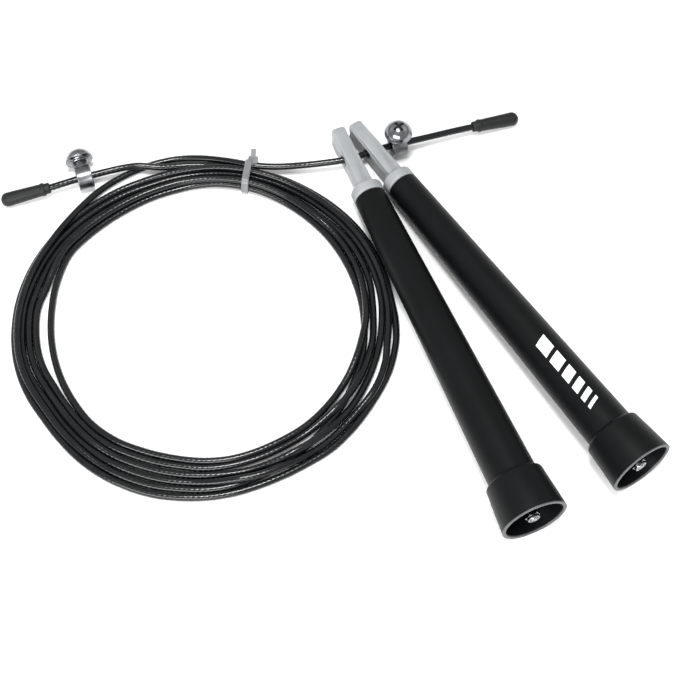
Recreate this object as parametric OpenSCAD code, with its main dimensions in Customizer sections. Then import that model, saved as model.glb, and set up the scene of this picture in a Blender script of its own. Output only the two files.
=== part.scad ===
// Cable speed rope, laid down with its spare cable in a tied round coil.
// Millimetres. +Z is up and the floor is Z = 0. The origin is below the middle of the two
// handles. Each handle is drawn along its own axis, with S = 0 at the cable hole of its head
// and S growing towards the butt, and is then laid down in its place.

/* [Cable] */
// Outside diameter of the plastic-coated steel cable
cable_d = 2.9; // [2.7:0.05:2.95]
// Mean radius of the coil's outer shape
coil_mean_r = 70.3; // [69.9:0.1:70.4]
// Radial width of the coil's outer shape
coil_w = 15; // [14.8:0.1:15.2]
// Height of the coil's outer shape
coil_h = 5.6; // [5.5:0.1:5.8]

/* [Handle] */
// Length of the black grip, from the head's flange to the butt rim
grip_len = 160; // [150:1:165]
// Grip diameter at the head's end
grip_top_d = 13.8; // [13.4:0.1:14]
// Grip diameter just before the butt
grip_low_d = 19.8; // [18:0.1:20]
// Butt diameter at its shoulder
butt_d = 23.2; // [22.5:0.1:23.5]
// Butt diameter at the rim
rim_d = 26.8; // [25.5:0.1:27]
// Length of the flared butt
butt_len = 18.8; // [16.5:0.1:18.8]
// Depth of the open cup in the butt
cup_depth = 14; // [12:1:16]

/* [Swivel head] */
// Thickness of the tongue along its cable hole
tongue_w = 6.6; // [6:0.1:6.8]
// Height of the tongue across its cable hole
tongue_h = 10; // [9:0.5:10]
// Length of the tongue beyond the cable hole
tongue_tip = 14.5; // [13:0.5:14.5]
// Diameter of the cable hole
hole_d = 4.8; // [4.6:0.1:5]
// Diameter of the flange between tongue and grip
flange_d = 14; // [13.8:0.1:14.1]
// Diameter of the steel axle
axle_d = 3; // [2.8:0.1:3.2]

/* [Clamp] */
// Outside diameter of the clamp's collar
collar_d = 10.2; // [9.8:0.1:10.4]
// Bore of the clamp's collar
collar_bore_d = 5.8; // [5.6:0.1:6]
// Length of the collar along the cable
collar_len = 6.5; // [6:0.1:6.6]
// Diameter of the screw's domed head
knob_d = 12; // [11:0.1:12]
// Height of the screw's domed head
knob_h = 6.6; // [5.5:0.1:7]
// Diameter of the screw's shank
shank_d = 4; // [3.5:0.1:4]

/* [End cap] */
// Length of the rubber end cap
cap_len = 21.5; // [20:0.5:22]
// Largest diameter of the rubber end cap
cap_d = 6.1; // [5.5:0.1:6.2]

/* [Hidden] */
$fn = 48;

// Colours
cable_black = [0.05, 0.05, 0.055];
grip_black = [0.09, 0.095, 0.1];
nylon_white = [0.86, 0.87, 0.87];
tie_white = [0.88, 0.89, 0.9];
plated_steel = [0.72, 0.73, 0.75];
rubber_grey = [0.13, 0.13, 0.14];

// Clearances: radial on a running fit, and end to end beside a turning part
run = 0.05;
side_gap = 0.1;

// Stations along a handle, measured from the cable hole
flange_len = 5;
tongue_end = 17;
top_s = tongue_end + flange_len;
rim_s = top_s + grip_len;
butt_s = rim_s - butt_len;
web_t = 4;
web_s = rim_s - cup_depth - web_t;
cup_s = rim_s - cup_depth;
bush_len = 8.8;
bush_d = 8;
journal_d = 9.8;
journal_len = 8.4;
socket_s = 8;
flange_round = 1.6;

// How the handles lie: each rests on its flange and on its butt rim
lie_s = tongue_end + flange_round;
lie_run = rim_s - lie_s;
lie_rise = rim_d / 2 - flange_d / 2 + flange_round;
lie_tilt = atan(lie_rise / lie_run) - asin(flange_round / norm([lie_run, lie_rise]));
hole_z = rim_d / 2 * cos(lie_tilt) - rim_s * sin(lie_tilt);
left_heading = -67.8;
right_heading = -56.2;
hole_gap = 10.7;
left_hole = [-57.22, 78.05];
right_hole = left_hole + hole_gap * [cos(left_heading + 90), sin(left_heading + 90)];

// Coil, and the tie that holds it
coil_centre = [-117, 2];
coil_in_r = coil_mean_r - coil_w / 2;
coil_out_r = coil_mean_r + coil_w / 2;
tie_angle = 77.4;
tie_skew = 5;
tie_r = 69.2;
tie_t = 1;
tie_w = 3;
tie_slot_w = 3.4;
tie_hold = [11.2, 5.2];
tie_outer = [tie_hold.x + 2 * tie_t, tie_hold.y + 2 * tie_t];
tie_head = [4, 4.8, 4.6];
tie_head_shift = -0.6;

// Clamps and caps on the cable: place, heading, fall and roll
clamp_a_at = [-36.6, 85.8, 6.1];
clamp_a_turn = [0, 0, 17];
clamp_b_at = [-171.5, 69.1, 5.4];
clamp_b_turn = [-82, 0, 19];
cap_a_at = [-3.6, 95.9, 4.7];
cap_a_turn = [0, 5, 17];
cap_b_at = [-186, 64.1, 4.9];
cap_b_turn = [0, 5.6, 195];
cap_hold = 12;
boss_top = 6.9;
knob_s = 7;

// Route of the cable from the coil, through both heads and clamp A, into end cap A
lead_a_route = [
    [-90, 75.3, 4.2], [-84, 75.3, 4.6], [-78, 75.5, 5.1], [-71, 76, 5.6], [-64, 76.8, 6],
    [-57.2, 78, 6.2], [-52, 80, 6.2], [-47.3, 82, 6.2], [-42, 84.1, 6.2], [-36.6, 85.8, 6.1],
    [-30, 87.8, 5.9], [-22, 90.2, 5.6], [-14, 92.7, 5.3], [-9, 94.2, 5.1], [-3.6, 95.9, 4.7],
    [2, 97.6, 4.2], [7.83, 99.4, 3.65]
];
// Route of the cable from the coil, through clamp B, into end cap B
lead_b_route = [
    [-141, 76.4, 4.4], [-148, 75.9, 5.2], [-156, 74.1, 5.4], [-164, 71.6, 5.4],
    [-171.5, 69.1, 5.4], [-179, 66.5, 5.3], [-186, 64.1, 4.9], [-191, 62.76, 4.39],
    [-197.54, 61, 3.73]
];

// ---- Functions for the swept cable ----

tube_sides = 8;

function unit(v) = v / norm(v);

// Direction of the route at point i
function heading_at(p, i) = unit(p[min(i + 1, len(p) - 1)] - p[max(i - 1, 0)]);

// One ring of the tube around point i of the route
function ring_at(p, i, r) =
    let (t = heading_at(p, i))
    let (u = unit(cross([0, 0, 1], t)))
    let (v = cross(t, u))
    [for (k = [0 : tube_sides - 1])
        let (a = 360 * k / tube_sides)
        p[i] + r * (cos(a) * u + sin(a) * v)];

// ---- Building blocks ----

// Sweeps a tube with closed ends along a route
module swept_tube(route, d) {
    count = len(route);
    last = (count - 1) * tube_sides;
    points = [for (i = [0 : count - 1]) each ring_at(route, i, d / 2)];
    walls = [
        for (i = [0 : count - 2], k = [0 : tube_sides - 1])
            let (a = i * tube_sides + k)
            let (b = i * tube_sides + (k + 1) % tube_sides)
            [a, b, b + tube_sides, a + tube_sides]
    ];
    start_face = [[for (k = [0 : tube_sides - 1]) tube_sides - 1 - k]];
    end_face = [[for (k = [0 : tube_sides - 1]) last + k]];
    polyhedron(points, concat(walls, start_face, end_face));
}

// Turns a shape drawn up the Z axis so that it runs along X
module along_x() {
    rotate([0, 90, 0]) children();
}

// Cylinder on the X axis from station a to station b
module rod(a, b, d) {
    translate([a, 0, 0]) along_x() cylinder(h = b - a, d = d);
}

// Cone on the X axis from station a to station b
module taper(a, b, d1, d2) {
    translate([a, 0, 0]) along_x() cylinder(h = b - a, d1 = d1, d2 = d2);
}

// Rectangle with rounded corners, centred on the origin
module rounded_rect(w, h, r) {
    square([w - 2 * r, h], center = true);
    square([w, h - 2 * r], center = true);
    for (x = [-1, 1], y = [-1, 1])
        translate([x * (w / 2 - r), y * (h / 2 - r)]) circle(r = r);
}

// Lays a handle piece down in its place
module lay_left() {
    translate([left_hole.x, left_hole.y, hole_z])
        rotate([0, -lie_tilt, left_heading]) children();
}

module lay_right() {
    translate([right_hole.x, right_hole.y, hole_z])
        rotate([0, -lie_tilt, right_heading]) children();
}

// Puts a piece on the cable
module place(at, turn) {
    translate(at) rotate(turn) children();
}

// ---- Handle pieces, drawn along X from the cable hole ----

// White nylon swivel head: tongue, round flange and the journal inside the grip
module head() {
    color(nylon_white) difference() {
        union() {
            tongue();
            flange();
            rod(top_s, top_s + journal_len, journal_d);
        }
        cable_hole();
        rod(socket_s, top_s + journal_len + 1, axle_d);
    }
}

// Tongue with a rounded end, seen from the side, and chamfered corners, seen from above
module tongue() {
    whole = tongue_tip + tongue_end + 1;
    corner = 3.5;
    chamfer = [2.2, 1.1];
    half = tongue_w / 2;
    intersection() {
        rotate([90, 0, 0]) linear_extrude(tongue_w, center = true)
            translate([whole / 2 - tongue_tip + corner / 2, 0])
            rounded_rect(whole + corner, tongue_h, corner);
        translate([0, 0, -tongue_h]) linear_extrude(2 * tongue_h)
            polygon([
                [-tongue_tip, -half + chamfer.y], [-tongue_tip + chamfer.x, -half],
                [tongue_end + 1, -half], [tongue_end + 1, half],
                [-tongue_tip + chamfer.x, half], [-tongue_tip, half - chamfer.y]
            ]);
    }
}

// Round flange with a soft outer edge
module flange() {
    translate([tongue_end, 0, 0]) along_x() rotate_extrude() {
        square([flange_d / 2 - flange_round, flange_len]);
        translate([0, flange_round])
            square([flange_d / 2, flange_len - 2 * flange_round]);
        for (y = [flange_round, flange_len - flange_round])
            translate([flange_d / 2 - flange_round, y]) circle(r = flange_round);
    }
}

// Hole for the cable, opened out at both mouths
module cable_hole() {
    mouth = 1;
    mouth_d = hole_d + 1.2;
    half = tongue_w / 2;
    rotate([90, 0, 0]) cylinder(h = tongue_w + 2, d = hole_d, center = true);
    for (turn = [-90, 90])
        rotate([turn, 0, 0]) translate([0, 0, half - mouth])
            cylinder(h = mouth + 0.01, d1 = hole_d, d2 = mouth_d);
}

// Steel axle, fixed in the head and running the length of the grip
module axle() {
    color(plated_steel) rod(socket_s, rim_s - 0.3, axle_d);
}

// Hollow black grip: tapered tube, flared butt with an open cup, and a web across the cup's floor
module grip() {
    r_low = grip_low_d / 2;
    r_butt = butt_d / 2;
    shoulder = 1.5;
    mouth_s = top_s + side_gap;
    seat_s = top_s + side_gap + bush_len;
    color(grip_black) difference() {
        union() {
            taper(mouth_s, butt_s, grip_top_d, grip_low_d);
            translate([butt_s, 0, 0]) along_x() rotate_extrude() {
                polygon([
                    [0, 0], [r_butt - shoulder, 0], [r_butt, shoulder],
                    [rim_d / 2, butt_len], [0, butt_len]
                ]);
                translate([r_butt - shoulder, shoulder]) circle(r = shoulder);
            }
        }
        rod(mouth_s - 1, seat_s, grip_top_d - 2);
        taper(seat_s - 0.01, butt_s, grip_top_d - 3.8, r_low * 2 - 4);
        rod(butt_s - 0.01, web_s, r_low * 2 - 4);
        rod(web_s - 1, cup_s + 1, bush_d);
        taper(cup_s, rim_s + 0.01, rim_d - 5.4, rim_d - 2.8);
    }
}

// Sleeve pressed into the grip's mouth, which the head's journal turns in
module upper_bush() {
    start = top_s + 2 * side_gap;
    end = top_s + side_gap + bush_len;
    color(rubber_grey) difference() {
        rod(start, end, grip_top_d - 2);
        rod(start - 1, end + 1, journal_d + 2 * run);
    }
}

// Flanged sleeve pressed into the web, which the axle turns in
module lower_bush() {
    nose_s = rim_s - 5.4;
    color(rubber_grey) difference() {
        union() {
            rod(web_s, cup_s, bush_d);
            rod(cup_s, cup_s + 1.2, bush_d + 2.4);
            rod(cup_s, nose_s, bush_d - 1.4);
        }
        rod(web_s - 1, nose_s + 1, axle_d + 2 * run);
    }
}

// Thrust washer between the lower bush and the nut
module washer() {
    start = rim_s - 5.3;
    color(plated_steel) difference() {
        rod(start, start + 0.6, 7);
        rod(start - 1, start + 2, axle_d + 0.2);
    }
}

// Hexagonal lock nut on the end of the axle
module lock_nut() {
    start = rim_s - 4.7;
    end = rim_s - 0.5;
    corner_d = 6.35;
    color(plated_steel) difference() {
        intersection() {
            translate([start, 0, 0]) along_x() cylinder(h = end - start, d = corner_d, $fn = 6);
            union() {
                rod(start, end - 0.5, corner_d + 1);
                taper(end - 0.5, end, corner_d, corner_d - 1);
            }
        }
        rod(start - 1, end + 1, axle_d);
    }
}

// ---- Pieces on the cable, drawn along X ----

// Collar of a cable clamp, with the boss that its screw goes through
module clamp_collar() {
    boss_foot = 3.8;
    color(plated_steel) difference() {
        union() {
            rod(-collar_len / 2, collar_len / 2, collar_d);
            translate([0, 0, boss_foot])
                cylinder(h = boss_top - boss_foot, d1 = collar_len, d2 = shank_d + 2);
        }
        rod(-collar_len / 2 - 1, collar_len / 2 + 1, collar_bore_d);
        cylinder(h = boss_top + 1, d = shank_d + 2 * run);
    }
}

// Screw of a cable clamp: flared underside, narrow rim, domed head and a cross recess
module clamp_screw() {
    flare = 1.2;
    edge = 0.8;
    r = knob_d / 2;
    dome = knob_h - flare - edge;
    ball_r = (r * r + dome * dome) / (2 * dome);
    recess = [5.6, 1.1, 2.4];
    color(plated_steel) difference() {
        union() {
            translate([0, 0, cable_d / 2 + side_gap])
                cylinder(h = knob_s - cable_d / 2, d = shank_d);
            translate([0, 0, knob_s]) cylinder(h = flare, r1 = r - 2, r2 = r);
            translate([0, 0, knob_s + flare]) cylinder(h = edge, r = r);
            intersection() {
                translate([0, 0, knob_s + knob_h - ball_r]) sphere(r = ball_r, $fn = 64);
                translate([0, 0, knob_s + flare + edge - 0.01]) cylinder(h = dome + 1, r = r);
            }
        }
        for (turn = [0, 90])
            rotate(turn) translate([0, 0, knob_s + knob_h - recess.z / 2 + 0.5])
                cube([recess.x, recess.y, recess.z + 1], center = true);
    }
}

// Rubber cap pushed over a cable end: stepped mouth, slightly swelling body, round tip
module end_cap() {
    mouth_len = 2.5;
    r = cap_d / 2;
    color(rubber_grey) difference() {
        union() {
            rod(0, mouth_len + 0.5, cap_d - 1.5);
            taper(mouth_len, cap_len - r, cap_d - 0.8, cap_d);
            translate([cap_len - r, 0, 0]) sphere(r = r);
        }
        rod(-1, cap_hold, cable_d + 0.05);
    }
}

// ---- The coil and its tie ----

// Outer shape of the coiled cable, narrowed where the tie goes round it
module cable_coil() {
    soft = coil_h / 2;
    edge = 1;
    color(cable_black) translate([coil_centre.x, coil_centre.y, 0]) difference() {
        rotate_extrude($fn = 96) {
            translate([coil_in_r + edge, 0]) square([coil_w - 2 * edge, coil_h - soft]);
            translate([coil_in_r + soft, 0]) square([coil_w - 2 * soft, coil_h]);
            translate([coil_in_r, edge]) square([coil_w, coil_h - soft - edge]);
            for (x = [coil_in_r + soft, coil_out_r - soft])
                translate([x, coil_h - soft]) circle(r = soft);
            for (x = [coil_in_r + edge, coil_out_r - edge])
                translate([x, edge]) circle(r = edge);
        }
        tie_place() {
            difference() {
                cube([coil_w + 12, tie_slot_w, 4 * coil_h], center = true);
                translate([0, 0, tie_t + tie_hold.y / 2])
                    cube([tie_hold.x, tie_slot_w + 2, tie_hold.y], center = true);
            }
            translate([tie_outer.x / 2 + tie_head.x / 2 - 0.5, tie_head_shift, 0])
                cube([tie_head.x + 1, tie_head.y + 0.8, 4 * coil_h], center = true);
        }
    }
}

// From the coil's centre to the tie, with X outwards
module tie_place() {
    rotate(tie_angle) translate([tie_r, 0, 0]) rotate(tie_skew) children();
}

// Nylon cable tie: closed band, head on the outer side and the cut tail standing out of it
module cable_tie() {
    head_at = [tie_outer.x / 2 + tie_head.x / 2 - 0.5, tie_head_shift, 4.6];
    tail = [1, 2.6, 4];
    color(tie_white) translate([coil_centre.x, coil_centre.y, 0]) tie_place() {
        translate([0, 0, tie_outer.y / 2]) rotate([90, 0, 0])
            linear_extrude(tie_w, center = true) difference() {
                rounded_rect(tie_outer.x, tie_outer.y, 1.2);
                square(tie_hold, center = true);
            }
        translate(head_at) cube(tie_head, center = true);
        translate(head_at + [0.3, 0, tie_head.z / 2 + tail.z / 2 - 0.5]) cube(tail, center = true);
    }
}

cable_coil();
color(cable_black) swept_tube(lead_a_route, cable_d);  // cable_lead_a
color(cable_black) swept_tube(lead_b_route, cable_d);  // cable_lead_b
place(cap_a_at, cap_a_turn) end_cap();  // end_cap_a
place(cap_b_at, cap_b_turn) end_cap();  // end_cap_b
cable_tie();
place(clamp_a_at, clamp_a_turn) clamp_collar();  // clamp_collar_a
place(clamp_a_at, clamp_a_turn) clamp_screw();  // clamp_screw_a
place(clamp_b_at, clamp_b_turn) clamp_collar();  // clamp_collar_b
place(clamp_b_at, clamp_b_turn) clamp_screw();  // clamp_screw_b
lay_left() head();  // head_left
lay_left() axle();  // axle_left
lay_left() grip();  // grip_left
lay_left() upper_bush();  // upper_bush_left
lay_left() lower_bush();  // lower_bush_left
lay_left() washer();  // washer_left
lay_left() lock_nut();  // lock_nut_left
lay_right() head();  // head_right
lay_right() axle();  // axle_right
lay_right() grip();  // grip_right
lay_right() upper_bush();  // upper_bush_right
lay_right() lower_bush();  // lower_bush_right
lay_right() washer();  // washer_right
lay_right() lock_nut();  // lock_nut_right
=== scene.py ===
"""Looks of the jump rope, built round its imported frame, in metres in the frame's own space."""

import math

import bmesh
import bpy
from mathutils import Matrix, Vector


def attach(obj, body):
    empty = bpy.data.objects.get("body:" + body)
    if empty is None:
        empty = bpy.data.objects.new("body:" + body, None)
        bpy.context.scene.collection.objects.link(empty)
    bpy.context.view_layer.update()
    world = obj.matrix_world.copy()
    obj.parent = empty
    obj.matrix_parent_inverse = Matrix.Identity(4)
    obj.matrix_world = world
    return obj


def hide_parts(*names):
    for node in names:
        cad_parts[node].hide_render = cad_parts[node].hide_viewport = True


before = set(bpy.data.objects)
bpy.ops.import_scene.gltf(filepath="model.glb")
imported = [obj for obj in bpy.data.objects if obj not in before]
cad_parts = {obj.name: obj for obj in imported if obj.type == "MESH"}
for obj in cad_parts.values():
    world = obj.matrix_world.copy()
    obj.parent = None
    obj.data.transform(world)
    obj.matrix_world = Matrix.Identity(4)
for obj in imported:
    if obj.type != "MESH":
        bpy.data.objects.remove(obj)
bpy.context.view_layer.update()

MM = 0.001


# ---- Camera, floor and light ----

scene = bpy.context.scene
scene.view_settings.view_transform = "Standard"

lens = bpy.data.cameras.new("camera")
lens.sensor_width = 36
lens.lens = 80.27
camera = bpy.data.objects.new("camera", lens)
camera.location = (-0.06315, -0.28976, 0.54592)
aim = Vector((-0.06315, -0.00528, 0)) - camera.location
camera.rotation_euler = aim.to_track_quat("-Z", "Y").to_euler()
scene.collection.objects.link(camera)
scene.camera = camera


def lamp(name, place, target, width, depth, watts):
    """A soft rectangular light at a place, facing a target."""
    data = bpy.data.lights.new(name, "AREA")
    data.shape = "RECTANGLE"
    data.size, data.size_y = width, depth
    data.energy = watts
    light = bpy.data.objects.new(name, data)
    light.location = place
    light.rotation_euler = (Vector(target) - Vector(place)).to_track_quat("-Z", "Y").to_euler()
    scene.collection.objects.link(light)


lamp("overhead", (-0.1, -0.02, 1.05), (-0.08, -0.02, 0), 0.3, 0.22, 9)
lamp("front", (-0.35, -0.85, 0.5), (-0.06, 0.0, 0), 1.0, 0.4, 13)
lamp("left", (-1.3, 0.5, 1.0), (-0.06, 0.0, 0), 1.0, 1.0, 1.2)
lamp("right", (1.2, 0.6, 1.0), (-0.06, 0.0, 0), 1.0, 1.0, 1.2)

world = bpy.data.worlds.new("studio")
scene.world = world
world.use_nodes = True
world.node_tree.nodes["Background"].inputs["Color"].default_value = (1, 1, 1, 1)
world.node_tree.nodes["Background"].inputs["Strength"].default_value = 0.62


# ---- Materials ----

def material(name, dark, light, rough, metal=0.0, grain=900, patch=60, bump=0.1, deep=0.00002,
             scuffs_and_glints=0.0, scuff_and_glint_colour=(0.5, 0.5, 0.5), stretch=(1, 1, 1), **more):
    """A procedural finish: patches between two colours, uneven gloss, fine grain and light speckles, which
    are scuffs on most finishes and painted glints on the cable.
    """
    made = bpy.data.materials.new(name)
    made.use_nodes = True
    nodes, links = made.node_tree.nodes, made.node_tree.links
    shader = nodes["Principled BSDF"]
    shader.inputs["Metallic"].default_value = metal
    for socket, value in more.items():
        shader.inputs[socket.replace("_", " ")].default_value = value
    where = nodes.new("ShaderNodeTexCoord")
    spread = nodes.new("ShaderNodeMapping")
    spread.inputs["Scale"].default_value = stretch
    links.new(where.outputs["Object"], spread.inputs["Vector"])

    def noise(scale, detail, roughness=0.55):
        node = nodes.new("ShaderNodeTexNoise")
        node.inputs["Scale"].default_value = scale
        node.inputs["Detail"].default_value = detail
        node.inputs["Roughness"].default_value = roughness
        links.new(spread.outputs["Vector"], node.inputs["Vector"])
        return node.outputs["Fac"]

    patches = nodes.new("ShaderNodeValToRGB")
    patches.color_ramp.elements[0].position = 0.3
    patches.color_ramp.elements[1].position = 0.7
    patches.color_ramp.elements[0].color = (*dark, 1)
    patches.color_ramp.elements[1].color = (*light, 1)
    links.new(noise(patch, 4), patches.inputs["Fac"])
    colour = patches.outputs["Color"]
    # Light speckles mixed into the colour: real scuffs on most finishes, painted glints on the cable.
    if scuffs_and_glints:
        marks = nodes.new("ShaderNodeMapRange")
        marks.inputs["From Min"].default_value = 0.62
        marks.inputs["From Max"].default_value = 0.8
        marks.inputs["To Max"].default_value = scuffs_and_glints
        links.new(noise(grain / 3, 6, 0.7), marks.inputs["Value"])
        over = nodes.new("ShaderNodeMix")
        over.data_type = "RGBA"
        over.inputs["B"].default_value = (*scuff_and_glint_colour, 1)
        links.new(marks.outputs["Result"], over.inputs["Factor"])
        links.new(colour, over.inputs["A"])
        colour = over.outputs["Result"]
    links.new(colour, shader.inputs["Base Color"])
    gloss = nodes.new("ShaderNodeMapRange")
    gloss.inputs["From Min"].default_value = 0.25
    gloss.inputs["From Max"].default_value = 0.75
    gloss.inputs["To Min"].default_value = rough[0]
    gloss.inputs["To Max"].default_value = rough[1]
    links.new(noise(grain / 2, 3), gloss.inputs["Value"])
    links.new(gloss.outputs["Result"], shader.inputs["Roughness"])
    relief = nodes.new("ShaderNodeBump")
    relief.inputs["Strength"].default_value = bump
    relief.inputs["Distance"].default_value = deep
    links.new(noise(grain, 4), relief.inputs["Height"])
    links.new(relief.outputs["Normal"], shader.inputs["Normal"])
    return made


# The cable's light speckles are painted glints, standing in for the sparkle of the wires under its skin.
cable_black = material("cable_black", (0.0024, 0.0028, 0.0033), (0.0056, 0.0062, 0.007), (0.11, 0.22),
                       grain=2000, patch=260, bump=0.6, scuffs_and_glints=0.3,
                       scuff_and_glint_colour=(0.1, 0.1, 0.1), IOR=1.42)
rubber_grey = material("rubber_grey", (0.004, 0.0043, 0.0047), (0.008, 0.0085, 0.009), (0.45, 0.6),
                       grain=2600, patch=300, bump=0.35, scuffs_and_glints=0.25, scuff_and_glint_colour=(0.05, 0.05, 0.05),
                       Specular_IOR_Level=0.3)
tie_nylon = material("tie_nylon", (0.2, 0.209, 0.215), (0.27, 0.279, 0.285), (0.28, 0.42),
                     grain=1500, patch=260, bump=0.15, scuffs_and_glints=0.2, scuff_and_glint_colour=(0.42, 0.43, 0.44),
                     Transmission_Weight=0.3, Subsurface_Weight=0.3, Subsurface_Scale=0.001,
                     Subsurface_Radius=(1, 1, 1))
head_nylon = material("head_nylon", (0.245, 0.256, 0.264), (0.292, 0.303, 0.309), (0.42, 0.56),
                      grain=1300, patch=90, bump=0.12, scuffs_and_glints=0.16, scuff_and_glint_colour=(0.33, 0.33, 0.32),
                      Subsurface_Weight=0.5, Subsurface_Scale=0.004, Subsurface_Radius=(1, 1, 1))
plated_steel = material("plated_steel", (0.16, 0.167, 0.174), (0.3, 0.31, 0.322), (0.1, 0.2), metal=1.0,
                        grain=1500, patch=300, bump=0.1, deep=0.00002, scuffs_and_glints=0.35,
                        scuff_and_glint_colour=(0.3, 0.31, 0.32))
brushed_steel = material("brushed_steel", (0.13, 0.136, 0.141), (0.22, 0.228, 0.234), (0.26, 0.38), metal=1.0,
                         grain=1800, patch=260, bump=0.2, deep=0.00003, scuffs_and_glints=0.3,
                         scuff_and_glint_colour=(0.34, 0.34, 0.34), stretch=(1, 1, 0.35))
grip_plastic = material("grip_plastic", (0.0014, 0.0016, 0.0019), (0.0027, 0.003, 0.0035), (0.4, 0.52),
                        grain=2200, patch=40, bump=0.12, scuffs_and_glints=0.05, scuff_and_glint_colour=(0.1, 0.1, 0.11),
                        Specular_IOR_Level=0.14)
grip_edge = material("grip_edge", (0.045, 0.048, 0.051), (0.07, 0.073, 0.077), (0.42, 0.56),
                     grain=1800, patch=240, bump=0.25, scuffs_and_glints=0.3, scuff_and_glint_colour=(0.16, 0.16, 0.17))
bush_plastic = material("bush_plastic", (0.2, 0.2, 0.19), (0.28, 0.28, 0.27), (0.4, 0.55),
                        grain=1500, patch=200, bump=0.12)
print_white = material("print_white", (0.78, 0.79, 0.8), (0.87, 0.88, 0.89), (0.4, 0.55),
                       grain=2600, patch=500, bump=0.2, scuffs_and_glints=0.3, scuff_and_glint_colour=(0.5, 0.51, 0.52))
floor_white = material("floor_white", (0.95, 0.95, 0.95), (0.97, 0.97, 0.97), (0.6, 0.7),
                       grain=300, patch=3, bump=0.02, deep=0.0002, Specular_IOR_Level=0.1)


# ---- Shapes ----

def turned(x, y, z):
    """A turn about X, then Y, then Z, in degrees."""
    return (Matrix.Rotation(math.radians(z), 4, "Z") @ Matrix.Rotation(math.radians(y), 4, "Y")
            @ Matrix.Rotation(math.radians(x), 4, "X"))


def put(at, turn=(0, 0, 0)):
    return Matrix.Translation(Vector(at)) @ turned(*turn)


X_TO_Z = turned(0, -90, 0)


def corners(outline, closed=True, steps=5):
    """The outline's points (x, y, radius), with each corner rounded off to its radius."""
    points, count = [], len(outline)
    for i, (x, y, radius) in enumerate(outline):
        if radius == 0 or (not closed and i in (0, count - 1)):
            points.append((x, y))
            continue
        here = Vector((x, y))
        before = Vector(outline[i - 1][:2]) - here
        after = Vector(outline[(i + 1) % count][:2]) - here
        half = before.angle(after) / 2
        reach = min(radius / math.tan(half), 0.49 * before.length, 0.49 * after.length)
        radius = reach * math.tan(half)
        middle = (before.normalized() + after.normalized()).normalized()
        centre = here + middle * radius / math.sin(half)
        a = here + before.normalized() * reach - centre
        b = here + after.normalized() * reach - centre
        start = math.atan2(a.y, a.x)
        sweep = (math.atan2(b.y, b.x) - start + math.pi) % math.tau - math.pi
        for k in range(steps + 1):
            angle = start + sweep * k / steps
            points.append((centre.x + radius * math.cos(angle), centre.y + radius * math.sin(angle)))
    return points


def lathe(bm, profile, sides=96, closed=True, edge=None):
    """Turns a profile of (along X, radius) points about X. edge(i) gives a ring's faces a material."""
    rings = []
    for s, r in profile:
        if r < 1e-6:
            rings.append([bm.verts.new((s, 0, 0))] * sides)
        else:
            rings.append([bm.verts.new((s, r * math.cos(math.tau * k / sides),
                                        r * math.sin(math.tau * k / sides))) for k in range(sides)])
    count = len(rings)
    for i in range(count if closed else count - 1):
        a, b = rings[i], rings[(i + 1) % count]
        for k in range(sides):
            n = (k + 1) % sides
            face = []
            for v in (a[k], a[n], b[n], b[k]):
                if v not in face:
                    face.append(v)
            if len(face) > 2:
                made = bm.faces.new(face)
                if edge and edge(profile[i], profile[(i + 1) % count]):
                    made.material_index = 1
    return bm


def prism(bm, outline, low, high, axis="Z"):
    """A prism of the outline between two heights along Z, or along Y for a side view."""
    def at(x, y, h):
        return (x, y, h) if axis == "Z" else (x, h, y)
    floor = [bm.verts.new(at(x, y, low)) for x, y in outline]
    roof = [bm.verts.new(at(x, y, high)) for x, y in outline]
    bm.faces.new(floor[::-1])
    bm.faces.new(roof)
    for i in range(len(floor)):
        n = (i + 1) % len(floor)
        bm.faces.new((floor[i], floor[n], roof[n], roof[i]))
    return bm


def shaded(thing, sharp=38):
    """Smooth faces, with edges kept where they turn by more than the sharp angle."""
    bm = bmesh.new()
    bm.from_mesh(thing.data)
    for face in bm.faces:
        face.smooth = True
    for side in bm.edges:
        side.smooth = len(side.link_faces) == 2 and side.calc_face_angle(0) < math.radians(sharp)
    bm.to_mesh(thing.data)
    bm.free()


def keep(bm, name, place, *materials):
    """The mesh, drawn in millimetres in its own place, becomes an object in the frame's space."""
    bmesh.ops.recalc_face_normals(bm, faces=bm.faces)
    bm.transform(Matrix.Scale(MM, 4) @ place)
    data = bpy.data.meshes.new(name)
    bm.to_mesh(data)
    bm.free()
    for each in materials:
        data.materials.append(each)
    thing = bpy.data.objects.new(name, data)
    scene.collection.objects.link(thing)
    shaded(thing)
    return thing


def carve(thing, *tools, how="DIFFERENCE"):
    """Cuts the tools out of a piece, or joins them to it, and clears them away."""
    for tool in tools:
        step = thing.modifiers.new("carve", "BOOLEAN")
        step.operation = how
        step.solver = "EXACT"
        step.object = tool
    bpy.context.view_layer.update()
    result = bpy.data.meshes.new_from_object(
        thing.evaluated_get(bpy.context.evaluated_depsgraph_get()))
    thing.modifiers.clear()
    thing.data = result
    for tool in tools:
        bpy.data.objects.remove(tool)
    shaded(thing)
    return thing


def soften(thing, width, segments=2, angle=35):
    """A small bevel along the piece's edges."""
    step = thing.modifiers.new("soften", "BEVEL")
    step.width = width * MM
    step.segments = segments
    step.limit_method = "ANGLE"
    step.angle_limit = math.radians(angle)
    return thing


def stand(thing, body, slot, *nodes):
    """The piece rides on its body and stands for its CAD nodes, which are hidden; the slot is not used."""
    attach(thing, body)
    if nodes:
        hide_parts(*nodes)
    return thing


# ---- Cable ----

CABLE_D = 2.9
COIL = (-117, 2)
FLOOR_Z = 1.47

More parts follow.
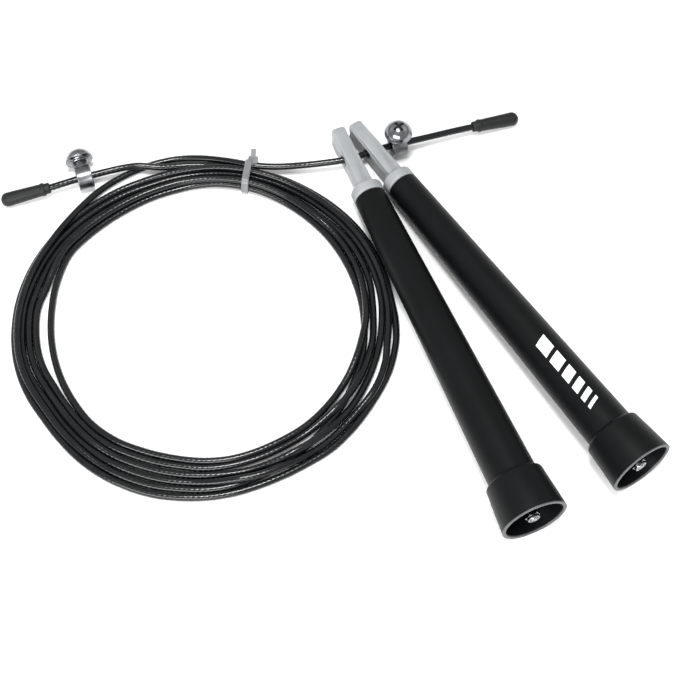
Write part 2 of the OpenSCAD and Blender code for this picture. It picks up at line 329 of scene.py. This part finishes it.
# From inside end cap A, through clamp A and both heads, to the coil
route_a = [
    (7.83, 99.4, 3.65), (2, 97.6, 4.2), (-3.6, 95.9, 4.7), (-9, 94.2, 5.1), (-14, 92.7, 5.3),
    (-22, 90.2, 5.6), (-30, 87.8, 5.9), (-36.6, 85.8, 6.1), (-42, 84.1, 6.2), (-47.3, 82, 6.2),
    (-52, 80, 6.2), (-57.2, 78, 6.2), (-64, 76.8, 6), (-71, 76, 5.6), (-78, 75.5, 5.1),
    (-84, 75.3, 4.6), (-90, 75.1, 4.5),
]
# From the coil, through clamp B, into end cap B
route_b = [
    (-156, 73.8, 5.4), (-164, 71.5, 5.4), (-171.5, 69.1, 5.4), (-179, 66.5, 5.3),
    (-186, 64.1, 4.9), (-191, 62.76, 4.39), (-197.54, 61, 3.73),
]
# Each turn of the coil from the tie round to the tie: angle, distance from the coil's centre and
# height where it isn't on the floor
TIE_ANGLE = 77.4
turns = [
    [(77.4, 75.5, 4.9), (84, 76.6, 4), (90, 78.2, 2.8), (96, 79.8, 1.8), (104, 80.7), (112, 80.5),
     (120, 79.9), (128, 79), (136, 77.3, 2.2), (144, 75.7, 3.7), (152, 75.2, 4.1), (160, 75.6, 4.1),
     (172, 76.3, 4), (185, 76.8, 4), (192, 76.9, 4), (200, 76.5, 3.8), (208, 75.3, 3.2),
     (216, 74.6, 3), (224, 74.8, 2.8), (232, 75.2, 2.3), (240, 75.6), (256, 75.8), (264, 75.4),
     (272, 75.3), (279, 74.9), (290, 73.4), (300, 71.6), (315, 69.6), (330, 67.8), (340, 66.9),
     (350, 66), (360, 65.1), (368, 64.6), (376, 64.1), (388, 63.9), (400, 64.1), (408, 64.3),
     (416, 64.7), (424, 65.1, 2)],
    [(77.4, 65.7, 2.53), (88, 65.8, 2.4), (96, 65.6, 1.8), (104, 64.9), (112, 64.5), (124, 64.1),
     (136, 64.6), (144, 65.4), (152, 66.3), (160, 65.5), (168, 64.7), (176, 63.9), (184, 63.5),
     (196, 63.3), (208, 63.4), (216, 63.6), (228, 64.2), (240, 63.8), (248, 63.1), (260, 62.8),
     (272, 63.3), (280, 63.5), (298, 63.15), (312, 63.7), (328, 63.9, 1.6), (336, 64.3, 2.4),
     (344, 64.6, 3.7), (352, 65.1, 4.3), (360, 66, 4.35), (368, 66.2, 4.1), (376, 66.6, 3.2),
     (384, 66.9, 1.8), (392, 66.9, 1.7), (400, 66.6, 2.5), (408, 66.2, 3.7), (420, 66.6, 4.1)],
    [(77.4, 66.9, 5.05), (88, 66.8, 4.7), (100, 66.6, 4.3), (112, 66.1, 4), (120, 66.1, 3.7),
     (128, 66.3, 3.5), (136, 66.9, 3.4), (144, 67.8, 3.3), (152, 68.7, 3.4), (160, 68.4, 2.9),
     (168, 68.3, 1.9), (176, 69.8), (184, 69.6), (192, 69.3), (200, 68.5), (208, 67.1),
     (216, 66.8), (224, 66.9), (232, 67.1), (240, 66.7), (248, 66.1), (264, 65.8), (272, 66.3),
     (296, 66), (306, 66.2), (315, 66.8, 2.6), (323, 67.9, 4.2), (331, 68.9, 4.3),
     (341, 69.3, 3.6), (352, 69.3, 2), (360, 69), (368, 69.3), (376, 70), (388, 70), (400, 69),
     (408, 68.1), (420, 68.3, 1.9)],
    [(77.4, 68.35, 2.53), (100, 68, 1.6), (112, 67.6), (120, 67.9), (128, 68.4), (136, 69.1),
     (144, 70.1), (152, 71), (160, 71.3), (168, 71.7), (176, 72.6), (184, 72.5), (192, 72.3),
     (200, 71.5), (208, 70), (216, 69.5, 2.4), (224, 69.6, 2.4), (232, 69.8, 2.2), (240, 69.6),
     (256, 69.2), (272, 69.3), (284, 69.9, 1.6), (294, 70.4, 2.9), (302, 70.9, 4.3),
     (311, 71.5, 4.1), (321, 71.8, 2.5), (328, 71.9), (340, 72), (352, 72.3), (360, 72.6),
     (368, 73.1), (384, 73), (400, 72.3), (408, 71.7), (420, 71.5, 1.9)],
    [(77.4, 71.2, 2.53), (100, 71, 1.6), (112, 70.6), (120, 71.1), (128, 71.5), (136, 72.1),
     (144, 73), (152, 73.9), (160, 74.3), (168, 74.8), (176, 75.4), (192, 75.3), (200, 74.6),
     (208, 73), (216, 72.2), (232, 72.5), (240, 72.6), (256, 72.5), (268, 72.3), (276, 72.8, 2.6),
     (283, 73.6, 4.3), (290, 74, 4.3), (297, 74, 3.8), (304, 74.1, 2), (312, 74.6),
     (320, 74.7, 1.7), (328, 75.5, 2.7), (336, 76.8, 3.8), (344, 76.5, 3.3), (352, 75.3, 2.9),
     (360, 75.3, 3), (368, 75.1, 3.7), (384, 74.9, 3.8), (400, 74, 3.6), (408, 73.5, 3.7),
     (420, 73.1, 4.1)],
    [(77.4, 72.6, 5.05), (88, 72.8, 4.6), (100, 72.9, 3.4), (112, 73.3, 2.2), (120, 74.1),
     (128, 74.5), (136, 75.1), (144, 76), (152, 76.7), (160, 77.3), (168, 77.8), (176, 78.1),
     (192, 78.4), (200, 78.2), (208, 77.6), (216, 76.9), (224, 77.2), (232, 77.9), (240, 78.5),
     (248, 78.8), (256, 79), (264, 78.7), (272, 78.3), (280, 77.8), (288, 77.1), (296, 76.8),
     (304, 77), (312, 77.8), (328, 77.8), (336, 78.3), (344, 78.9), (352, 78.9), (360, 78.1),
     (368, 77), (392, 76.4), (400, 76), (408, 75.6), (416, 75.1, 1.7), (424, 74.8, 2)],
    [(77.4, 74.05, 2.53), (90, 74.9, 2.7), (98, 75.6, 2.9), (104, 76, 3.4), (109, 77.4, 4.1),
     (113, 80, 4.6)],
]


def slopes(xs, ys):
    """Slopes at the knots of a smooth curve that doesn't overshoot them."""
    steps = [(ys[i + 1] - ys[i]) / (xs[i + 1] - xs[i]) for i in range(len(xs) - 1)]
    found = [steps[0]]
    for before, after in zip(steps, steps[1:]):
        found.append(0 if before * after <= 0 else 2 * before * after / (before + after))
    return found + [steps[-1]]


def smooth_at(xs, ys, tilt, x):
    """The curve's value at x, between its knots."""
    i = max(k for k in range(len(xs) - 1) if xs[k] <= x)
    run = xs[i + 1] - xs[i]
    t = (x - xs[i]) / run
    return ((1 + 2 * t) * (1 - t) ** 2 * ys[i] + t * (1 - t) ** 2 * run * tilt[i]
            + t * t * (3 - 2 * t) * ys[i + 1] + t * t * (t - 1) * run * tilt[i + 1])


def coil_points():
    """The coil's turns as points, 90 to a turn."""
    knots = [(angle + 360 * n, rest[0], rest[1] if len(rest) > 1 else FLOOR_Z)
             for n, turn in enumerate(turns) for angle, *rest in turn]
    angles, radii, heights = (list(part) for part in zip(*knots))
    radius_slopes, height_slopes = slopes(angles, radii), slopes(angles, heights)
    count = round((angles[-1] - angles[0]) / 4)
    points = []
    for k in range(count + 1):
        angle = angles[0] + (angles[-1] - angles[0]) * min(k / count, 1 - 1e-9)
        r = smooth_at(angles, radii, radius_slopes, angle)
        z = smooth_at(angles, heights, height_slopes, angle)
        points.append(Vector((COIL[0] + r * math.cos(math.radians(angle)),
                              COIL[1] + r * math.sin(math.radians(angle)), z)))
    return points


def joined(points, spacing):
    """A smooth line through the points, with its own points evenly spaced along it."""
    fine = []
    ends = [2 * points[0] - points[1]] + points + [2 * points[-1] - points[-2]]
    for p0, p1, p2, p3 in zip(ends, ends[1:], ends[2:], ends[3:]):
        gap = (p2 - p1).length
        m1 = (p2 - p0) * gap / ((p2 - p1).length + (p1 - p0).length)
        m2 = (p3 - p1) * gap / ((p3 - p2).length + gap)
        for k in range(12):
            t = k / 12
            fine.append((2 * t ** 3 - 3 * t * t + 1) * p1 + (t ** 3 - 2 * t * t + t) * m1
                        + (3 * t * t - 2 * t ** 3) * p2 + (t ** 3 - t * t) * m2)
    fine.append(points[-1])
    run = [0.0]
    for a, b in zip(fine, fine[1:]):
        run.append(run[-1] + (b - a).length)
    count = round(run[-1] / spacing)
    even, i = [], 0
    for k in range(count + 1):
        want = min(run[-1] * k / count, run[-1] - 1e-9)
        while run[i + 1] < want:
            i += 1
        even.append(fine[i].lerp(fine[i + 1], (want - run[i]) / (run[i + 1] - run[i])))
    return even


def eased(line, reach, rounds):
    """The line with its small kinks smoothed away and its ends left in place."""
    for _ in range(rounds):
        total = [Vector((0, 0, 0))]
        for p in line:
            total.append(total[-1] + p)
        last = len(line) - 1
        line = [p if i in (0, last) else
                (total[i + min(reach, i, last - i) + 1] - total[i - min(reach, i, last - i)])
                / (2 * min(reach, i, last - i) + 1) for i, p in enumerate(line)]
    return line


STEP = 0.5
SIDES = 24
STRANDS = 6
LAY_PITCH = 12
LAY_DEPTH = 0.06

line = eased(joined([Vector(p) for p in route_a] + coil_points() + [Vector(p) for p in route_b],
                    STEP), round(2 / STEP), 2)


def cable_mesh():
    """The cable's skin, with the wire strands' twist showing through it as six long lobes."""
    bm = bmesh.new()
    across = (line[1] - line[0]).orthogonal().normalized()
    run, rings = 0.0, []
    for i, p in enumerate(line):
        ahead = (line[min(i + 1, len(line) - 1)] - line[max(i - 1, 0)]).normalized()
        across = (across - across.dot(ahead) * ahead).normalized()
        up = ahead.cross(across)
        if i:
            run += (p - line[i - 1]).length
        depth = LAY_DEPTH * (0.6 + 0.4 * math.sin(run / 2.3) * math.sin(run / 6.1))
        ring = []
        for k in range(SIDES):
            angle = math.tau * k / SIDES
            r = CABLE_D / 2 + depth * math.cos(STRANDS * (angle - math.tau * run / LAY_PITCH))
            ring.append(bm.verts.new(p + r * (math.cos(angle) * across + math.sin(angle) * up)))
        rings.append(ring)
    for a, b in zip(rings, rings[1:]):
        for k in range(SIDES):
            n = (k + 1) % SIDES
            bm.faces.new((a[k], a[n], b[n], b[k]))
    bm.faces.new(rings[0][::-1])
    bm.faces.new(rings[-1])
    return bm


cable = keep(cable_mesh(), "cable", Matrix.Identity(4), cable_black)
stand(cable, "rope", "cable", "cable_coil", "cable_lead_a", "cable_lead_b")


# ---- End caps ----

def end_cap():
    """A rubber cap: narrow collar, raised lip, body growing to a rounded tip, blind bore."""
    bm = bmesh.new()
    outside = corners([
        (0, 1.6, 0), (0, 2.3, 0.35), (2.3, 2.35, 0.2), (2.35, 2.85, 0.35), (3.3, 2.85, 0.4),
        (4.1, 2.62, 1), (18.45, 3.05, 0)], closed=False, steps=4)
    tip = [(18.45 + 3.05 * math.sin(math.radians(a)), 3.05 * math.cos(math.radians(a)))
           for a in range(9, 90, 9)]
    bore = [(12.0, 0), (12.0, 1.4), (11.9, 1.5), (0.25, 1.5)]
    return lathe(bm, outside + tip + [(21.5, 0)] + bore, sides=48, closed=True)


def cap_body():
    bm = end_cap()
    bmesh.ops.dissolve_degenerate(bm, dist=1e-5, edges=bm.edges)
    return bm


cap_a = keep(cap_body(), "cap_a", put((-3.6, 95.9, 4.7), (0, 5, 17)), rubber_grey)
stand(cap_a, "rope", "rubber", "end_cap_a")
cap_b = keep(cap_body(), "cap_b", put((-186, 64.1, 4.9), (0, 5.6, 195)), rubber_grey)
stand(cap_b, "rope", "rubber", "end_cap_b")


# ---- Cable tie ----

TIE_R = 69.2
tie_place = (put((*COIL, 0), (0, 0, TIE_ANGLE)) @ Matrix.Translation(Vector((TIE_R, 0, 0)))
             @ turned(0, 0, 5))
bundle = [(-3.7, 2.53), (-0.85, 2.53), (2, 2.53), (4.85, 2.53), (-2.3, 5.05), (3.4, 5.05), (6.3, 4.9)]


def tie_band():
    """The tie's band, drawn tight round the strands, with rounded edges."""
    bm = bmesh.new()
    count = 96
    half, lip = 1.5, 0.3
    inner, outer = CABLE_D / 2 + 0.04, CABLE_D / 2 + 1.02
    section = [(inner, -half), (inner, half), (outer - lip, half), (outer, half - lip),
               (outer, lip - half), (outer - lip, -half)]
    rings = []
    for k in range(count):
        angle = math.tau * k / count
        out = Vector((math.cos(angle), math.sin(angle)))
        x, z = max(bundle, key=lambda c: Vector(c).dot(out))
        rings.append([bm.verts.new((x + r * out.x, y, z + r * out.y)) for r, y in section])
    for i in range(count):
        a, b = rings[i], rings[(i + 1) % count]
        for k in range(len(section)):
            n = (k + 1) % len(section)
            bm.faces.new((a[k], a[n], b[n], b[k]))
    return bm


def tie_lock():
    """The tie's head, a rounded block with a slot, behind the bundle."""
    bm = bmesh.new()
    prism(bm, corners([(-1.9, -2.1, 0.6), (1.9, -2.1, 0.8), (1.9, 2.1, 0.8), (-1.9, 2.1, 0.6)]),
          -2.2, 2.2)
    return bm


def tie_tail():
    """The cut tail, leaning out of the head, with fine teeth across it."""
    bm = bmesh.new()
    bites = 14
    side = [(0.45, 0)] + [(0.45 - (0.12 if k % 2 else 0), 7.5 * k / bites) for k in range(1, bites + 1)]
    prism(bm, side + [(-0.45, 7.6), (-0.45, 0)], -1.05, 1.05, axis="Y")
    return bm


tie = keep(tie_band(), "tie_band", tie_place, tie_nylon)
lock = keep(tie_lock(), "tie_lock", tie_place @ put((8.1, -1.6, 4.6)), tie_nylon)
slit = bmesh.new()
prism(slit, [(-0.6, -1.2), (0.6, -1.2), (0.6, 1.2), (-0.6, 1.2)], -4, 4)
carve(lock, keep(slit, "slit", tie_place @ put((8.3, -1.6, 4.6), (0, 28, 0))))
soften(lock, 0.18)
tail = keep(tie_tail(), "tie_tail", tie_place @ put((7.7, -1.6, 3.4), (0, 28, 0)), tie_nylon)
stand(tie, "rope", "tie_nylon", "cable_tie")
stand(lock, "rope", "tie_nylon", "cable_tie")
stand(tail, "rope", "tie_nylon", "cable_tie")


# ---- Clamps: collar and domed screw ----

def collar(name, place, body, node):
    """A bored ring with a boss for the screw, both turned, edges softened."""
    ring = keep(lathe(bmesh.new(), corners([
        (-3.25, 2.9, 0.2), (-3.25, 5.1, 0.3), (-2.75, 5.1, 0.05), (-2.65, 4.98, 0.05),
        (2.65, 4.98, 0.05), (2.75, 5.1, 0.05), (3.25, 5.1, 0.3), (3.25, 2.9, 0.2)], steps=3)),
        name, place, brushed_steel)
    boss = keep(lathe(bmesh.new(), [(3.8, 0), (3.8, 3.25), (6.6, 3.02), (6.9, 2.8), (6.9, 0)],
                      sides=64, closed=False), "boss", place @ X_TO_Z)
    carve(ring, boss, how="UNION")
    hole = keep(lathe(bmesh.new(), [(1, 0), (1, 2.05), (8, 2.05), (8, 0)], sides=48, closed=False),
                "hole", place @ X_TO_Z)
    bore = keep(lathe(bmesh.new(), [(-5, 0), (-5, 2.9), (5, 2.9), (5, 0)], sides=96, closed=False),
                "bore", place)
    carve(ring, hole, bore)
    soften(ring, 0.12)
    return stand(ring, body, "plated_steel", node)


def screw(name, place, body, node):
    """A domed thumb screw: threaded shank, stepped underside, rim, dome with a cross recess."""
    dome = [(7.536 + 6.064 * math.sin(math.radians(a)), 6.064 * math.cos(math.radians(a)))
            for a in range(15, 90, 5)]
    profile = [(1.475, 0), (1.475, 1.5), (1.9, 1.95), (7, 1.95)] + corners([
        (7, 1.95, 0), (7, 3.5, 0.2), (7.4, 3.7, 0.2), (7.5, 4.5, 0.2), (7.75, 4.7, 0.1),
        (8.15, 5.85, 0.1), (8.3, 6.0, 0.1), (8.85, 6.0, 0.15), (9.0, 5.87, 0)],
        closed=False, steps=3)[1:] + dome + [(13.6, 0)]
    head = keep(lathe(bmesh.new(), profile, closed=False), name, place @ X_TO_Z, plated_steel)
    blades = []
    for turn in (0, 90):
        blade = bmesh.new()
        prism(blade, [(-2.9, 14.2), (-2.4, 11.7), (-0.8, 10.9), (0.8, 10.9), (2.4, 11.7), (2.9, 14.2)],
              -0.52, 0.52, axis="Y")
        blades.append(keep(blade, "blade", place @ turned(0, 0, turn + 22)))
    carve(head, *blades)
    soften(head, 0.08)
    return stand(head, body, "plated_steel", node)


CLAMP_A = put((-36.6, 85.8, 6.1), (0, 0, 17))
CLAMP_B = put((-171.5, 69.1, 5.4), (-82, 0, 19))
collar_a = collar("collar_a", CLAMP_A, "clamp_collar_a", "clamp_collar_a")
screw_a = screw("screw_a", CLAMP_A, "clamp_screw_a", "clamp_screw_a")
collar_b = collar("collar_b", CLAMP_B, "clamp_collar_b", "clamp_collar_b")
screw_b = screw("screw_b", CLAMP_B, "clamp_screw_b", "clamp_screw_b")


# ---- Handles ----

TILT = 2.24257
HOLE_Z = 6.26804
LAY = {
    "left": put((-57.22, 78.05, HOLE_Z), (0, -TILT, -67.8)),
    "right": put((-47.3132, 82.0929, HOLE_Z), (0, -TILT, -56.2)),
}


def head(side):
    """White nylon head: flat tongue with soft edges, waisted into a round flange and journal."""
    bm = bmesh.new()
    prism(bm, corners([(-15.2, -5, 2.4), (19, -5, 0), (19, 5, 0), (-15.2, 5, 2.4)], steps=8),
          -3.3, 3.3, axis="Y")
    tip = [v for v in bm.verts if v.co.x < -12.8]
    for v in tip:
        v.co.y -= math.copysign(0.9 * (-12.8 - v.co.x) / 2.4, v.co.y)
    bmesh.ops.recalc_face_normals(bm, faces=bm.faces)
    rims = [e for e in bm.edges if len(e.link_faces) == 2 and e.calc_face_angle(0) > 0.6
            and max(v.co.x for v in e.verts) < 18.9 or abs(e.verts[0].co.x - e.verts[1].co.x) > 20]
    bmesh.ops.bevel(bm, geom=rims, offset=0.85, offset_type="OFFSET", segments=4, profile=0.5,
                    affect="EDGES")
    tongue = keep(bm, f"head_{side}_tongue", LAY[side], head_nylon)
    flange = keep(lathe(bmesh.new(), [(14.8, 0), (14.8, 3.6), (15.4, 4.5), (16.2, 5.1), (16.9, 5.7)]
                        + corners([(17.2, 6.0, 0), (17.5, 7.0, 1.2), (22, 7.0, 1.4), (22, 5.1, 0.1),
                                   (22.6, 4.9, 0.2), (30.4, 4.9, 0.4), (30.4, 0, 0)], closed=False),
                        closed=False), "flange", LAY[side], head_nylon)
    carve(tongue, flange, how="UNION")
    across = LAY[side] @ turned(0, 0, 90)
    hole = keep(lathe(bmesh.new(), [(-5, 0), (-5, 3.3), (-3.35, 3.1), (-3, 2.75), (-2.4, 2.45), (-2, 2.4),
                                    (2, 2.4), (2.4, 2.45), (3, 2.75), (3.35, 3.1), (5, 3.3), (5, 0)],
                      sides=64, closed=False), "hole", across)
    carve(tongue, hole)
    return stand(tongue, f"swivel_{side}", "head_nylon", f"head_{side}")


def grip(side):
    """Black grip: slow taper, sleeve with a soft shoulder, open cup with a web across it."""
    outline = corners([
        (22.1, 5.9, 0.2), (22.1, 6.9, 0.7), (163, 9.9, 0.9), (163.5, 11.7, 1.5),
        (181.6, 13.4, 0.15), (182, 13.35, 0.12), (182, 12.05, 0.12), (181.5, 11.9, 0.2),
        (168, 10.7, 0.8), (168, 4.0, 0.15), (164, 4.0, 0.15), (164, 7.9, 0.6), (30.9, 5.0, 0.1),
        (30.9, 5.9, 0)], steps=4)
    made = keep(lathe(bmesh.new(), outline, sides=160,
                      edge=lambda a, b: min(a[0], b[0]) > 181.35 and min(a[1], b[1]) > 11.8),
                f"grip_{side}", LAY[side], grip_plastic, grip_edge)
    return stand(made, f"grip_{side}", "grip_plastic", f"grip_{side}")


def turned_piece(name, side, profile, finish, sides=64, closed=True):
    """A piece turned about its handle's axis, laid with that handle."""
    return keep(lathe(bmesh.new(), profile, sides=sides, closed=closed), f"{name}_{side}", LAY[side],
                finish)


def thread(start, end, pitch, low, high):
    """Crests and roots of a fine thread."""
    count = int((end - start) / pitch)
    points = []
    for k in range(count):
        points += [(start + pitch * (k + 0.1), low), (start + pitch * (k + 0.6), high)]
    return points


def nut(side):
    """Hexagonal lock nut with chamfered corners and a round collar at its outer end."""
    bm = bmesh.new()
    flat = 6.35 / 2
    hexagon = [(flat * math.cos(math.radians(60 * k)), flat * math.sin(math.radians(60 * k)))
               for k in range(6)]
    low = [bm.verts.new((177.3, y, z)) for y, z in hexagon]
    high = [bm.verts.new((180.5, y, z)) for y, z in hexagon]
    bm.faces.new(low[::-1])
    bm.faces.new(high)
    for k in range(6):
        n = (k + 1) % 6
        bm.faces.new((low[k], low[n], high[n], high[k]))
    body = keep(bm, f"nut_{side}", LAY[side], plated_steel)
    shape = keep(lathe(bmesh.new(), [(177.2, 0), (177.2, 2.75), (177.7, 3.3), (179.9, 3.3),
                                     (180.45, 2.75), (180.5, 0)], closed=False), "shape", LAY[side])
    carve(body, shape, how="INTERSECT")
    top = keep(lathe(bmesh.new(), [(180.3, 0), (180.3, 2.6)] + corners([
        (180.4, 2.6, 0), (181.5, 2.45, 0.4), (181.5, 1.9, 0.2), (181.2, 1.7, 0)], closed=False)
        + [(181.2, 0)], closed=False), "top", LAY[side])
    carve(body, top, how="UNION")
    bore = keep(lathe(bmesh.new(), [(170, 0), (170, 1.52), (190, 1.52), (190, 0)], sides=48,
                      closed=False), "bore", LAY[side])
    carve(body, bore)
    soften(body, 0.08)
    return stand(body, f"swivel_{side}", "plated_steel", f"lock_nut_{side}")


for side in ("left", "right"):
    head(side)
    grip(side)
    nut(side)
    axle = turned_piece("axle", side, [(8, 0), (8, 1.3), (8.2, 1.5), (176, 1.5)]
                        + thread(176, 181.2, 0.5, 1.36, 1.5) + [(181.3, 1.4), (181.6, 1.15), (181.7, 0)],
                        plated_steel, closed=False)
    stand(axle, f"swivel_{side}", "plated_steel", f"axle_{side}")
    washer = turned_piece("washer", side, corners([
        (176.7, 1.6, 0.1), (176.7, 3.5, 0.15), (177.3, 3.5, 0.15), (177.3, 1.6, 0.1)]), plated_steel)
    stand(washer, f"swivel_{side}", "plated_steel", f"washer_{side}")
    upper = turned_piece("upper_bush", side, corners([
        (22.2, 4.95, 0.1), (22.2, 5.9, 0.15), (30.9, 5.9, 0.15), (30.9, 4.95, 0.1)]), bush_plastic)
    stand(upper, f"grip_{side}", "bush_plastic", f"upper_bush_{side}")
    lower = turned_piece("lower_bush", side, corners([
        (164, 1.55, 0.1), (164, 4, 0.15), (168, 4, 0.05), (168, 5.2, 0.2), (169.2, 5.2, 0.3),
        (169.2, 3.4, 0.3), (176.6, 3.3, 0.4), (176.6, 1.55, 0.15)]), bush_plastic)
    stand(lower, f"grip_{side}", "bush_plastic", f"lower_bush_{side}")


# ---- Printed mark on the right grip: slanted bars, drawn on the taper ----

MARK_ANGLE = 100
MARK_START = 118.5
NECK_AT, NECK_R = 22.1, 6.9
TAPER = 3.0 / 140.9


def bars():
    """Slanted bars printed on the grip, a hair above its skin."""
    bm = bmesh.new()
    high, lean, film = 5.4, 2, 0.05
    start = MARK_START
    for width, gap in ((6.8, 2), (5.6, 2), (4.5, 2), (3.5, 2), (2.5, 2), (1.5, 0)):
        across, along = 10, max(2, round(width / 1.2))
        grid = []
        for i in range(across + 1):
            v = i / across - 0.5
            row = []
            for j in range(along + 1):
                s = start + width * j / along + lean * v
                r = NECK_R + TAPER * (s - NECK_AT) + film
                angle = math.radians(MARK_ANGLE) + v * high / r
                row.append(bm.verts.new((s, r * math.cos(angle), r * math.sin(angle))))
            grid.append(row)
        for a, b in zip(grid, grid[1:]):
            for j in range(along):
                bm.faces.new((a[j], a[j + 1], b[j + 1], b[j]))
        start += width + gap
    return bm


mark = keep(bars(), "printed_bars", LAY["right"], print_white)
step = mark.modifiers.new("film", "SOLIDIFY")
step.thickness = 0.05 * MM
stand(mark, "grip_right", "grip_plastic")


# ---- Floor ----

ground = bmesh.new()
bmesh.ops.create_grid(ground, x_segments=2, y_segments=2, size=3000)
floor = keep(ground, "floor", put((-60, 0, -0.1)), floor_white)
